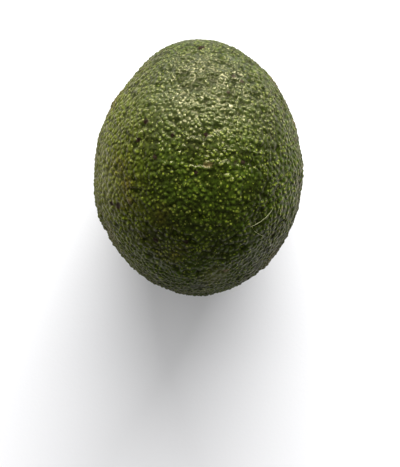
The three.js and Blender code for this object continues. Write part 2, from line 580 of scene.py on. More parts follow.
        # the relief dies away in the stem's hollow and where the fruit rests
        hollow = self.form.hollow_radius
        quiet = ease(0.55 * hollow, 1.9 * hollow, self.form.from_stem(directions))
        quiet = quiet * (0.35 + 0.65 * ease(2.0, 14.0, from_rest))
        return height * quiet, ease(0.56, 0.22, net) * quiet


# Blemishes, by their places in the photograph


class BlemishKind(Enum):
    """What a blemish is, and which channel of the skin's marks it fills."""

    SPECK = 0
    CORK = 1
    WARM = 2
    BLOOM = 3


@dataclass(frozen=True)
class Blemish:
    """One blemish of the skin.

    Attributes:
        kind: what it is.
        x: millimetres to the right of the fruit's middle in the picture.
        y: millimetres above it.
        radius: half of its width, in millimetres.
        strength: how plainly it shows, up to 1.
    """

    kind: BlemishKind
    x: float
    y: float
    radius: float
    strength: float = 1.0


# How far each blemish lies to the right and above, its radius and its strength
SEEN_BLEMISHES = tuple(
    Blemish(kind, *row)
    for kind, rows in {
        BlemishKind.SPECK: (
            (0.8, 40.4, 1.2, 0.9), (11.8, 31.0, 0.9), (14.3, 29.3, 0.8, 0.8), (9.9, 25.6, 0.7, 0.8),
            (2.5, 11.1, 0.7), (-17.7, 15.5, 0.9, 0.64), (-20.2, 9.6, 0.95, 0.68), (-8.6, 11.1, 0.8, 0.7),
            (-14.7, 3.4, 0.95, 0.68), (-0.8, -1.7, 0.8, 0.9), (15.0, 2.0, 0.9, 0.66), (34.0, 11.1, 1.2),
            (-27.0, -12.6, 1.2, 0.85), (-29.0, -11.8, 0.8), (-4.2, -24.6, 0.9, 0.8),
            (-14.1, -24.3, 1.0, 0.8),
        ),
        BlemishKind.CORK: ((2.8, 1.0, 2.0, 0.5), (9.3, -34.4, 1.2, 0.7), (-23.2, -11.4, 1.2, 0.5)),
        BlemishKind.WARM: (
            (-22.8, -9.5, 6.5, 0.9), (-15.5, -19.0, 8.0, 0.6), (-27.5, 2.0, 6.0, 0.5),
            (-10.0, -27.0, 6.0, 0.4),
        ),
        BlemishKind.BLOOM: ((6.0, -36.0, 4.5, 0.5), (-32.5, -6.0, 10.0, 0.55)),
    }.items()
    for row in rows
)  # fmt: skip

# Both ends, width and height of each fold
SEEN_FOLDS = (
    Fold((-14.5, 1.8), (-5.0, 0.4), 0.9, 0.315),
    Fold((-5.0, 0.3), (4.5, -1.6), 0.9, 0.27),
    Fold((4.0, 1.8), (13.5, 0.2), 0.9, 0.315),
    Fold((-21.0, 6.4), (-9.5, 5.2), 1.0, 0.30),
    Fold((-7.0, 6.6), (2.0, 5.2), 0.9, 0.255),
    Fold((8.0, 5.6), (21.0, 4.6), 1.0, 0.30),
    Fold((-24.0, 11.6), (-13.0, 9.8), 0.9, 0.27),
    Fold((9.0, 9.8), (24.0, 8.0), 0.9, 0.27),
    Fold((-4.0, 9.6), (5.5, 8.4), 0.8, 0.225),
    Fold((11.0, -4.6), (23.0, -6.2), 0.9, 0.225),
    Fold((-22.0, -3.8), (-11.0, -3.0), 0.9, 0.21),
    Fold((-8.0, 22.6), (-5.6, 13.5), 0.8, 0.195),
)

# How far the folds wander and over what width, in millimetres, and between which heights
# over the floor they come in, in metres
FOLD_SWAY = 1.1
FOLD_SWAY_PATCH = 3.6
FOLD_HEIGHTS = (0.036, 0.046)


def seen_at(points: np.ndarray) -> np.ndarray:
    """Where the camera sees some points.

    Args:
        points: places in metres.

    Returns:
        Millimetres to the right of and above the fruit's middle in the picture.
    """
    eye = np.array(VIEW.eye)
    grown = VIEW.distance / (eye[2] - points[:, 2])
    return (eye[:2] + (points[:, :2] - eye[:2]) * grown[:, None]) / MM


def fold_height(points: np.ndarray, folds: Sequence[Fold]) -> np.ndarray:
    """How far the folds lift the skin.

    Args:
        points: places of the plain form, in metres, as it lies.
        folds: the folds, which the upper half alone has.

    Returns:
        Heights in millimetres.
    """
    seen = seen_at(points)
    upper = ease(*FOLD_HEIGHTS, points[:, 2])
    sway = FOLD_SWAY * noise_at(points / MM, FOLD_SWAY_PATCH, 71.0)
    total = np.zeros(len(points))
    for fold in folds:
        start, along = np.array(fold.start), np.subtract(fold.end, fold.start)
        length = float(np.hypot(*along))
        share = (seen - start) @ along / length**2
        across = np.abs((seen - start) @ np.array([-along[1], along[0]]) / length + sway)
        ends = ease(-0.12, 0.15, share) * ease(1.12, 0.85, share)
        total = np.maximum(total, fold.height * ends * np.exp(-((across / fold.width) ** 2)))
    return total * upper


# Finishes


# Sockets that share a name with others are given by number. Map Range takes the reading
# at 0, and a span at 1 to 4. Mix takes its share at 0, two numbers at 2 and 3 or two
# colours at 6 and 7, and gives its colour at output 2.
SMOOTH = {"interpolation_type": "SMOOTHSTEP"}
COLOUR = {"data_type": "RGBA"}
MULTIPLY = {"operation": "MULTIPLY"}
MULTIPLY_ADD = {"operation": "MULTIPLY_ADD"}

Adder = Callable[..., bpy.types.Node]
Socket = bpy.types.NodeSocket


def feed(node: bpy.types.Node, inputs: dict[Any, Any]) -> None:
    """Sets or links a node's inputs.

    Args:
        node: the node.
        inputs: for each socket, by name or number, a value or the socket that feeds it.
    """
    for key, value in inputs.items():
        if isinstance(value, Socket):
            node.id_data.links.new(value, node.inputs[key])
        else:
            node.inputs[key].default_value = value


def add_node(
    tree: bpy.types.NodeTree, kind: str, inputs: dict[Any, Any] | None = None, **settings: Any
) -> bpy.types.Node:
    """Adds a node with its settings and links.

    Args:
        tree: the material's or world's nodes.
        kind: the node's type after the word ShaderNode, such as "TexNoise".
        inputs: for each socket, by name or number, a value or the socket that feeds it.
        settings: the node's own properties.

    Returns:
        The node.
    """
    node = tree.nodes.new("ShaderNode" + kind)
    for name, value in settings.items():
        setattr(node, name, value)
    feed(node, inputs or {})
    return node


def new_material(name: str) -> tuple[bpy.types.Material, Adder, bpy.types.Node]:
    """Makes a material with an empty Principled shader.

    Args:
        name: the material's name.

    Returns:
        The material, what adds a node to it, and the shader.
    """
    material = bpy.data.materials.new(name)
    material.use_nodes = True
    material.node_tree.nodes.clear()
    add = partial(add_node, material.node_tree)
    shader = add("BsdfPrincipled")
    add("OutputMaterial", {"Surface": shader.outputs["BSDF"]})
    return material, add, shader


class Span(NamedTuple):
    """How a reading turns into another value.

    Attributes:
        start: the reading at which the value starts to change.
        end: the reading at which it is done. It may lie below the start.
        low: the value at the start.
        high: the value at the end.
    """

    start: float
    end: float
    low: float = 0.0
    high: float = 1.0

    def of(self, reading: Socket) -> dict[int, Any]:
        """The reading and the span, by the numbers of the sockets that take them."""
        return dict(enumerate((reading, *self)))


@dataclass
class RindReadings:
    """What the rind's nodes read off the mesh, and the noises that they share.

    Attributes:
        place: the point, in millimetres.
        valley: 0 on high ground to 1 in a valley.
        from_crown: the way from the pebble's crown, in millimetres.
        traits: the pebble's three random numbers: its dot's size, strength and paleness.
        dome: how high the pebble's dome rises, up to 1.
        marks: specks, scars and warm patches.
        pale: pale patches.
        patches: noise as wide as the mottling.
        flecks: finer noise.
        grain: the finest, as a number and as a colour.
        plain: 0 on most of the skin to 1 where it is plainest.
        glance: 0 where the skin faces the eye to 1 where it is seen along itself.
    """

    place: Socket
    valley: Socket
    from_crown: Socket
    traits: Sequence[Socket]
    dome: Socket
    marks: Sequence[Socket]
    pale: Socket
    patches: Socket
    flecks: Socket
    grain: Sequence[Socket]
    plain: Socket
    glance: Socket


@dataclass(frozen=True)
class WaxyRind:
    """Avocado rind, as grown: thick, leathery and pebbled under a thin natural wax.

    It gives the eye a deep mottled green with a yellow-green dot on most pebbles, small
    bright glints where their domes throw the light back, and a dusty olive at its edge.
    Widths and places are in millimetres, as the fruit lies.

    Attributes:
        shade: green of the deep parts of the mottling.
        leaf: its usual green.
        light: green of the pale parts.
        painted_light_green: greyer, paler green towards the neck, painted light and sheen where the skin
            faces the lights.
        cheek: yellower green of one side.
        valley: darker green between the pebbles, painted shade in the valleys.
        halo: ring round a dot.
        dot: a dot's yellow green.
        pale_dot: a dot gone to pale cork.
        painted_glint_dot: a dot towards the neck, creamier as a painted highlight where the glints fall.
        warm: skin that is ripening to brown.
        warm_dot: a dot on it.
        speck: dried skin of a bruise.
        cork: healed skin of a scar.
        bloom: bare grey wax.
        wax: tint of the wax's own gloss.
        dust_colour: of the dry outer wax, seen along the skin.
        dust: how much of it there is.
        dust_roughness: of the dry outer wax.
        roughness: of the wax.
        ior: of the wax, lower than a polished wax's, because it is full of pores.
        patch: width of the mottling's patches.
        fleck: width of the flecks in them.
        fleck_share: how much the flecks weigh beside the patches.
        grain: width of the finest grain, which frays the edges of dots and scars.
        greens: where shade, leaf and light stand on the mottling.
        neck: the share of the painted light and sheen towards the neck, by the place along the fruit.
        side: the share of the cheek's, by the place across it.
        ripe: the share of a warm patch, by the patches.
        deep: the share of the painted valley shade at their bottom.
        spot: width of the spots of lighter and darker skin.
        spots: their brightness, by their noise.
        plain_middle: middle of the plainest skin.
        plain_share: how plain the skin is, by the way from there.
        plain_bright: the plainest skin's brightness.
        fray: how far a dot strays from round.
        dot_radius: a dot's radius, by the pebble's first number.
        dot_strength: how plainly it shows, by the second.
        dot_edges: where a dot starts and stops fading out, as shares of its radius.
        ring_width: of the ring round a dot.
        ring_strength: how plainly it shows.
        dots_on_plain: how plainly dots and rings show, by how plain the skin is.
        dots_by_height: the same, by the height over the floor.
        small_spacing: from one small dot to the next.
        small_fray: how far they stray.
        small_middle: radius of a small dot's full colour, as a share of the spacing.
        small_radius: their radii, as shares of the spacing, at random.
        small_strength: how plainly they show, at random.
        mark_weight: how much a mark weighs beside the grain that makes it ragged.
        cork_edge: a scar's share, by the mark and the grain.
        speck_edge: a speck's share, by the mark and the grain.
        dulling: roughness that a dot adds to the wax.
        speck_dulling: how many times that a speck adds.
        valley_dulling: how many times that a valley's bottom adds.
        patchy: roughness that the flecks add.
        matt_edge: roughness that is added where the skin is seen along itself.
        shine_in_valley: the level of the gloss, by the valley.
        shine_at_edge: what it is multiplied by where the skin is seen along itself.
        shine_on_plain: what it is multiplied by where the skin is plain.
        wrinkle: width of the finest wrinkles.
        wrinkle_depth: their depth.
        dot_rise: how far a dot stands up, as a share of that.
        dome_height: what the finish adds to each pebble's dome.
        dome_reach: how much of that there is, by the way from the crown.
    """

    shade: str = "1a2103"
    leaf: str = "212c05"
    light: str = "273507"
    painted_light_green: str = "373c20"
    cheek: str = "4c5109"
    valley: str = "121803"
    halo: str = "3f500c"
    dot: str = "74831c"
    pale_dot: str = "7f813e"
    painted_glint_dot: str = "8a8462"
    warm: str = "423610"
    warm_dot: str = "8f6c24"
    speck: str = "160a08"
    cork: str = "4a4024"
    bloom: str = "6c6c3e"
    wax: str = "fff3b8"
    dust_colour: str = "c9b78c"
    dust: float = 0.28
    dust_roughness: float = 0.35
    roughness: float = 0.18
    ior: float = 1.33
    patch: float = 13.0
    fleck: float = 2.6
    fleck_share: float = 0.55
    grain: float = 0.5
    greens: tuple[float, float, float] = (0.60, 0.77, 0.96)
    neck: Span = Span(-2.0, 20.0, 0.0, 0.5)
    side: Span = Span(-10.0, -32.0, 0.0, 0.6)
    ripe: Span = Span(0.35, 0.6)
    deep: float = 0.9
    spot: float = 1.0
    spots: Span = Span(0.36, 0.64, 0.45, 1.5)
    plain_middle: tuple[float, float, float] = (2.0, 25.0, 57.0)
    plain_share: Span = Span(24.0, 7.2)
    plain_bright: float = 0.85
    fray: float = 0.35
    dot_radius: Span = Span(0.0, 1.0, 0.17, 0.46)
    dot_strength: Span = Span(0.0, 1.0, 0.1, 0.9)
    dot_edges: tuple[float, float] = (1.35, 0.35)
    ring_width: float = 0.55
    ring_strength: float = 0.4
    dots_on_plain: Span = Span(0.3, 1.0, 1.0, 0.4)
    dots_by_height: Span = Span(38.0, 54.0, 0.5, 1.0)
    small_spacing: float = 1.1
    small_fray: float = 0.5
    small_middle: float = 0.04
    small_radius: Span = Span(0.0, 1.0, 0.22, 0.52)
    small_strength: Span = Span(0.0, 1.0, 0.12, 0.92)
    mark_weight: float = 0.9
    cork_edge: Span = Span(1.25, 1.5)
    speck_edge: Span = Span(1.25, 1.42)
    dulling: float = 0.14
    speck_dulling: float = 3.0
    valley_dulling: float = 0.8
    patchy: Span = Span(0.3, 0.7, -0.07, 0.09)
    matt_edge: Span = Span(0.5, 0.95, 0.0, 0.26)
    shine_in_valley: Span = Span(0.45, 1.0, 0.5, 0.1)
    shine_at_edge: Span = Span(0.4, 0.8, 1.0, 0.15)
    shine_on_plain: Span = Span(0.1, 0.8, 0.52, 1.15)
    wrinkle: float = 1.3
    wrinkle_depth: float = 0.045
    dot_rise: float = 0.2
    dome_height: float = 0.28
    dome_reach: Span = Span(1.25, 0.12)

    def make(self) -> bpy.types.Material:
        """Builds the material."""
        material, add, shader = new_material("waxy_rind")
        read = self.read(add)
        skin, neck, warm = self.mottled(add, read)
        skin, dots = self.dotted(add, read, skin, neck, warm)
        skin, speck, cork = self.marked(add, read, skin)
        inputs = {
            "Base Color": skin,
            "Roughness": self.gloss(add, read, dots, speck, cork),
            "IOR": self.ior,
            "Specular IOR Level": self.shine(add, read),
            "Specular Tint": linear(self.wax),
            "Sheen Weight": self.dust,
            "Sheen Roughness": self.dust_roughness,
            "Sheen Tint": linear(self.dust_colour),
            "Normal": self.fine_relief(add, read, dots),
        }
        feed(shader, inputs)
        return material

    def read(self, add: Adder) -> RindReadings:
        """Reads the mesh's attributes and makes the shared noises.

        Args:
            add: adds a node.

        Returns:
            What the other methods read.
        """
        metres = add("TexCoord").outputs["Object"]
        place = add("VectorMath", {0: metres, "Scale": 1 / MM}, operation="SCALE").outputs[0]
        valley, from_crown, traits, marks = (
            add("Attribute", attribute_name=name).outputs
            for name in ("valley", "from_crown", "traits", "marks")
        )
        patches, flecks, grain = (
            add("TexNoise", {"Vector": place, "Scale": 1 / width, "Detail": detail}).outputs
            for width, detail in ((self.patch, 3.0), (self.fleck, 3.0), (self.grain, 2.0))
        )
        from_plain = {0: place, 1: self.plain_middle}
        away = add("VectorMath", from_plain, operation="DISTANCE").outputs["Value"]
        return RindReadings(
            place=place,
            valley=valley["Fac"],
            from_crown=from_crown["Vector"],
            traits=add("SeparateColor", {0: traits["Color"]}).outputs,
            dome=traits["Alpha"],
            marks=add("SeparateColor", {0: marks["Color"]}).outputs,
            pale=marks["Alpha"],
            patches=patches[0],
            flecks=flecks[0],
            grain=grain,
            plain=add("MapRange", self.plain_share.of(away), **SMOOTH).outputs[0],
            glance=add("LayerWeight", {"Blend": 0.5}).outputs["Facing"],
        )

    def mottled(self, add: Adder, read: RindReadings) -> tuple[Socket, Socket, Socket]:
        """Colours the skin itself, without its dots and marks, with painted light towards the neck and
        painted shade in the valleys.

        Args:
            add: adds a node.
            read: what the mesh holds.

        Returns:
            The skin's colour, the share of the painted light towards the neck, and the warm patches'
            share.
        """
        flecked = {0: read.flecks, 1: self.fleck_share, 2: read.patches}
        greens = add("ValToRGB", {"Fac": add("Math", flecked, **MULTIPLY_ADD).outputs[0]})
        ramp = greens.color_ramp.elements
        ramp[0].position, middle, ramp[1].position = self.greens
        ramp[0].color, ramp[1].color = linear(self.shade), linear(self.light)
        ramp.new(middle).color = linear(self.leaf)

        # painted light and sheen: paler, greyer towards the neck; yellower on one side, brown where it
        # ripens; painted shade: darker in the valleys
        across, along, _ = add("SeparateXYZ", {0: read.place}).outputs
        neck = add("MapRange", self.neck.of(along), **SMOOTH).outputs[0]
        side = add("MapRange", self.side.of(across), **SMOOTH).outputs[0]
        ripe = add("MapRange", self.ripe.of(read.patches), **SMOOTH).outputs[0]
        warm = add("Math", {0: read.marks[2], 1: ripe}, **MULTIPLY).outputs[0]
        deep = add("Math", {0: read.valley, 1: self.deep}, **MULTIPLY).outputs[0]
        skin = greens.outputs[0]
        layers = ((neck, self.painted_light_green), (side, self.cheek), (warm, self.warm), (deep, self.valley))
        for share, colour in layers:
            skin = add("Mix", {0: share, 6: skin, 7: linear(colour)}, **COLOUR).outputs[2]

        # small spots of lighter and darker skin, which the plainest skin hasn't got
        spots = add("TexNoise", {"Vector": read.place, "Scale": 1 / self.spot, "Detail": 2.0})
        bright = add("MapRange", self.spots.of(spots.outputs[0])).outputs[0]
        bright = add("Mix", {0: read.plain, 2: bright, 3: self.plain_bright}).outputs[0]
        skin = add("VectorMath", {0: skin, "Scale": bright}, operation="SCALE").outputs[0]
        return skin, neck, warm

    def crown_dots(self, add: Adder, read: RindReadings) -> tuple[Socket, Socket]:
        """Sets a dot on most pebbles' crowns, a little out of round, in a paler ring.

        Args:
            add: adds a node.
            read: what the mesh holds.

        Returns:
            The dots' share of the colour, and the rings'.
        """
        strayed = {0: read.grain[1], 1: (self.fray,) * 3, 2: read.from_crown}
        centred = {0: add("VectorMath", strayed, **MULTIPLY_ADD).outputs[0], 1: (self.fray / 2,) * 3}
        way = add("VectorMath", centred, operation="SUBTRACT").outputs[0]
        away = add("VectorMath", {0: way}, operation="LENGTH").outputs["Value"]
        radius = add("MapRange", self.dot_radius.of(read.traits[0])).outputs[0]
        strength = add("MapRange", self.dot_strength.of(read.traits[1])).outputs[0]
        outer, inner = (
            add("Math", {0: radius, 1: share}, **MULTIPLY).outputs[0] for share in self.dot_edges
        )
        ring = add("Math", {0: radius, 1: self.ring_width}, operation="ADD").outputs[0]
        dots = {0: away, 1: outer, 2: inner, 3: 0.0, 4: strength}
        rings = {0: away, 1: ring, 2: inner, 3: 0.0, 4: self.ring_strength}
        return tuple(add("MapRange", shown, **SMOOTH).outputs[0] for shown in (dots, rings))

    def small_dots(self, add: Adder, read: RindReadings) -> Socket:
        """Scatters smaller dots between the others, no two alike.

        Args:
            add: adds a node.
            read: what the mesh holds.

        Returns:
            Their share of the colour.
        """
        strayed = {0: read.grain[1], 1: (self.small_fray,) * 3, 2: read.place}
        place = add("VectorMath", strayed, **MULTIPLY_ADD).outputs[0]
        small = add("TexVoronoi", {"Vector": place, "Scale": 1 / self.small_spacing}).outputs
        chance = add("SeparateColor", {0: small["Color"]}).outputs
        radius = add("MapRange", self.small_radius.of(chance[0])).outputs[0]
        strength = add("MapRange", self.small_strength.of(chance[1])).outputs[0]
        shown = {0: small["Distance"], 1: radius, 2: self.small_middle, 3: 0.0, 4: strength}
        return add("MapRange", shown, **SMOOTH).outputs[0]

    def dotted(
        self, add: Adder, read: RindReadings, skin: Socket, neck: Socket, warm: Socket
    ) -> tuple[Socket, Socket]:
        """Lays the dots on the skin, weaker on the plainest skin and low on the flanks.

        Args:
            add: adds a node.
            read: what the mesh holds.
            skin: the skin's colour.
            neck: the share of the painted light towards the neck.
            warm: the warm patches' share of it.

        Returns:
            The colour with the dots, and the dots' share of it.
        """
        height = add("SeparateXYZ", {0: read.place}).outputs[2]
        clear = add("MapRange", self.dots_on_plain.of(read.plain)).outputs[0]
        upper = add("MapRange", self.dots_by_height.of(height)).outputs[0]
        strength = add("Math", {0: clear, 1: upper}, **MULTIPLY).outputs[0]
        dots, rings = self.crown_dots(add, read)
        small = self.small_dots(add, read)
        dots = add("Math", {0: dots, 1: small}, operation="MAXIMUM").outputs[0]
        dots = add("Math", {0: dots, 1: strength}, **MULTIPLY).outputs[0]
        rings = add("Math", {0: rings, 1: strength}, **MULTIPLY).outputs[0]

        # painted highlight: towards the neck the dots go creamier, where the glints fall
        dot = linear(self.dot)
        layers = ((read.traits[2], self.pale_dot), (neck, self.painted_glint_dot), (warm, self.warm_dot))
        for share, colour in layers:
            dot = add("Mix", {0: share, 6: dot, 7: linear(colour)}, **COLOUR).outputs[2]
        skin = add("Mix", {0: rings, 6: skin, 7: linear(self.halo)}, **COLOUR).outputs[2]
        skin = add("Mix", {0: dots, 6: skin, 7: dot}, **COLOUR).outputs[2]
        return skin, dots

    def marked(self, add: Adder, read: RindReadings, skin: Socket) -> tuple[Socket, Socket, Socket]:
        """Lays bloom, scars and specks on the skin, each with a ragged edge.

        Args:
            add: adds a node.
            read: what the mesh holds.
            skin: the skin's colour.

        Returns:
            The colour with the marks, the specks' share of it, and the scars'.
        """
        bloom = add("Math", {0: read.pale, 1: read.flecks}, **MULTIPLY).outputs[0]
        ragged = add("Math", {0: read.grain[0], 1: read.flecks}, operation="ADD").outputs[0]
        shares = []
        for mark, edge in ((read.marks[1], self.cork_edge), (read.marks[0], self.speck_edge)):
            weighed = add("Math", {0: mark, 1: self.mark_weight, 2: ragged}, **MULTIPLY_ADD).outputs[0]
            shares.append(add("MapRange", edge.of(weighed), **SMOOTH).outputs[0])
        cork, speck = shares
        for share, colour in ((bloom, self.bloom), (cork, self.cork), (speck, self.speck)):
            skin = add("Mix", {0: share, 6: skin, 7: linear(colour)}, **COLOUR).outputs[2]
        return skin, speck, cork

    def gloss(
        self, add: Adder, read: RindReadings, dots: Socket, speck: Socket, cork: Socket
    ) -> Socket:
        """The wax's roughness.

        It is duller on dots, scars and specks, between the pebbles, where dust stays, and
        where the skin is seen along itself.

        Args:
            add: adds a node.
            read: what the mesh holds.
            dots: the dots' share of the colour.
            speck: the specks' share.
            cork: the scars' share.

        Returns:
            The roughness.
        """
        dull = add("Math", {0: speck, 1: self.speck_dulling, 2: dots}, **MULTIPLY_ADD).outputs[0]
        dull = add("Math", {0: dull, 1: cork}, operation="ADD").outputs[0]
        deep = {0: read.valley, 1: self.valley_dulling, 2: dull}
        dull = add("Math", deep, **MULTIPLY_ADD).outputs[0]
        patchy = add("MapRange", self.patchy.of(read.flecks)).outputs[0]
        matt = add("MapRange", self.matt_edge.of(read.glance)).outputs[0]
        gloss = add("Math", {0: dull, 1: self.dulling, 2: patchy}, **MULTIPLY_ADD).outputs[0]
        for more in (self.roughness, matt):
            gloss = add("Math", {0: gloss, 1: more}, operation="ADD").outputs[0]
        return gloss

    def shine(self, add: Adder, read: RindReadings) -> Socket:
        """How much light the wax throws back: less from valleys and edges, more where plain.

        Args:
            add: adds a node.
            read: what the mesh holds.

        Returns:
            The level, where 0.5 is the wax's own.
        """
        shine = add("MapRange", self.shine_in_valley.of(read.valley)).outputs[0]
        clear = add("MapRange", self.shine_at_edge.of(read.glance)).outputs[0]
        polish = add("MapRange", self.shine_on_plain.of(read.plain)).outputs[0]
        for factor in (clear, polish):
            shine = add("Math", {0: shine, 1: factor}, **MULTIPLY).outputs[0]
        return shine

    def fine_relief(self, add: Adder, read: RindReadings, dots: Socket) -> Socket:
        """Wrinkles finer than the mesh, rounder domes, and dots that stand a little proud.

        Args:
            add: adds a node.
            read: what the mesh holds.
            dots: the dots' share of the colour.

        Returns:
            The normal.
        """
        folded = {"Vector": read.place, "Scale": 1 / self.wrinkle, "Detail": 1.0, "Distortion": 0.5}
        wrinkles = add("TexNoise", folded).outputs[0]
        away = add("VectorMath", {0: read.from_crown}, operation="LENGTH").outputs["Value"]
        rise = self.dome_reach._replace(high=self.dome_height / self.wrinkle_depth)
        domes = add("MapRange", rise.of(away), **SMOOTH).outputs[0]
        domes = add("Math", {0: domes, 1: read.dome}, **MULTIPLY).outputs[0]
        height = add("Math", {0: dots, 1: self.dot_rise, 2: wrinkles}, **MULTIPLY_ADD).outputs[0]
        height = add("Math", {0: height, 1: domes}, operation="ADD").outputs[0]
        return add("Bump", {"Height": height, "Distance": self.wrinkle_depth * MM}).outputs["Normal"]


@dataclass(frozen=True)
class DryStem:
    """The stem's wood and bark, dried on the fruit and left as it broke.

    It gives the eye a dull grey brown with dark cracks and pale fibres.

    Attributes:
        bark: the brown of the whole.
        fibre: its pale fibres.
        crack: the dark of the cracks.
        roughness: of dry wood, by the fibres' noise.
        ior: of dry wood.
        fibre_width: of one fibre, in millimetres.
        fibre_depth: how far a fibre stands up, in millimetres.
        patch: width of the darker patches, in millimetres.
        browns: where bark and fibre stand on the fibres' noise.
        dark: the cracks' share of the darker patches, by their noise.
    """

    bark: str = "513f2c"
    fibre: str = "78654c"
    crack: str = "241a11"
    roughness: Span = Span(0.0, 1.0, 0.75, 0.95)
    ior: float = 1.5
    fibre_width: float = 0.30
    fibre_depth: float = 0.12
    patch: float = 1.6
    browns: tuple[float, float] = (0.35, 0.72)
    dark: Span = Span(0.55, 0.35, 0.0, 0.5)

    def make(self) -> bpy.types.Material:
        """Builds the material."""
        material, add, shader = new_material("dry_stem")
        metres = add("TexCoord").outputs["Object"]
        place = add("VectorMath", {0: metres, "Scale": 1 / MM}, operation="SCALE").outputs[0]
        frayed = {"Scale": 1 / self.fibre_width, "Detail": 3.0, "Distortion": 0.5}
        fibres = add("TexNoise", {"Vector": place, **frayed}).outputs[0]
        broad = {"Vector": place, "Scale": 1 / self.patch, "Detail": 2.0}
        patches = add("TexNoise", broad).outputs[0]
        browns = add("ValToRGB", {"Fac": fibres})
        ramp = browns.color_ramp.elements
        ramp[0].position, ramp[1].position = self.browns
        ramp[0].color, ramp[1].color = linear(self.bark), linear(self.fibre)
        dark = add("MapRange", self.dark.of(patches)).outputs[0]
        depth = add("Attribute", attribute_name="crack").outputs["Fac"]
        cracked = add("Math", {0: dark, 1: depth}, operation="MAXIMUM").outputs[0]
        browned = {0: cracked, 6: browns.outputs[0], 7: linear(self.crack)}
        bump = add("Bump", {"Height": fibres, "Distance": self.fibre_depth * MM})
        inputs = {
            "Base Color": add("Mix", browned, **COLOUR).outputs[2],
            "Roughness": add("MapRange", self.roughness.of(fibres)).outputs[0],
            "IOR": self.ior,
            "Normal": bump.outputs["Normal"],
        }
        feed(shader, inputs)
        return material


@dataclass(frozen=True)
class StrawFibre:
    """A hair of dry plant fibre, as it comes off a crate's straw.

    It gives the eye a pale, matt line, hardly wider than a hair.

    Attributes:
        colour: straw.
        roughness: of dry fibre.
        ior: of dry fibre.
        streak: length of a darker streak, in millimetres.
        streaks: the brightness, by the streaks' noise.
    """

    colour: str = "96986c"
    roughness: float = 0.6
    ior: float = 1.5
    streak: float = 2 / 3
    streaks: Span = Span(0.3, 0.7, 0.75, 1.0)

    def make(self) -> bpy.types.Material:
        """Builds the material."""
        material, add, shader = new_material("straw_fibre")
        place = add("TexCoord").outputs["Object"]
        streaks = add("TexNoise", {"Vector": place, "Scale": 1 / (self.streak * MM)}).outputs[0]
        shade = add("MapRange", self.streaks.of(streaks)).outputs[0]
        straw = {0: linear(self.colour)[:3], "Scale": shade}
        colour = add("VectorMath", straw, operation="SCALE").outputs[0]
        feed(shader, {"Base Color": colour, "Roughness": self.roughness, "IOR": self.ior})
        return material


@dataclass(frozen=True)
class WhiteAcrylic:
    """Matt white acrylic, as a studio's light table has for its top.

    It gives the eye plain white, and lit a little from below it keeps shadows pale.

    Attributes:
        white: of the sheet.
        grey: of its faint patches.
        patch: width of a patch, in millimetres.
        grain: width of the matt surface's grain, in millimetres, coarser than the real one's.
        grain_depth: its depth, in millimetres.
        roughness: of the matt surface.
        specular: how much light it throws back as a mirror does.
        glow: how brightly it is lit from below.
    """

    white: str = "dededf"
    grey: str = "dadadc"
    patch: float = 250 / 3
    grain: float = 10 / 9
    grain_depth: float = 0.02
    roughness: float = 0.9
    specular: float = 0.1
    glow: float = 0.10

    def make(self) -> bpy.types.Material:
        """Builds the material."""
        material, add, shader = new_material("white_acrylic")
        place = add("TexCoord").outputs["Object"]
        patches, grain = (
            add("TexNoise", {"Vector": place, "Scale": 1 / (width * MM), "Detail": detail}).outputs[0]
            for width, detail in ((self.patch, 2.0), (self.grain, 1.0))
        )
        whites = {0: patches, 6: linear(self.white), 7: linear(self.grey)}
        bump = add("Bump", {"Height": grain, "Distance": self.grain_depth * MM})
        inputs = {
            "Base Color": add("Mix", whites, **COLOUR).outputs[2],
            "Roughness": self.roughness,
            "Specular IOR Level": self.specular,
            "Emission Color": linear(self.white),
            "Emission Strength": self.glow,
            "Normal": bump.outputs["Normal"],
        }
        feed(shader, inputs)
        return material


# The object's pieces


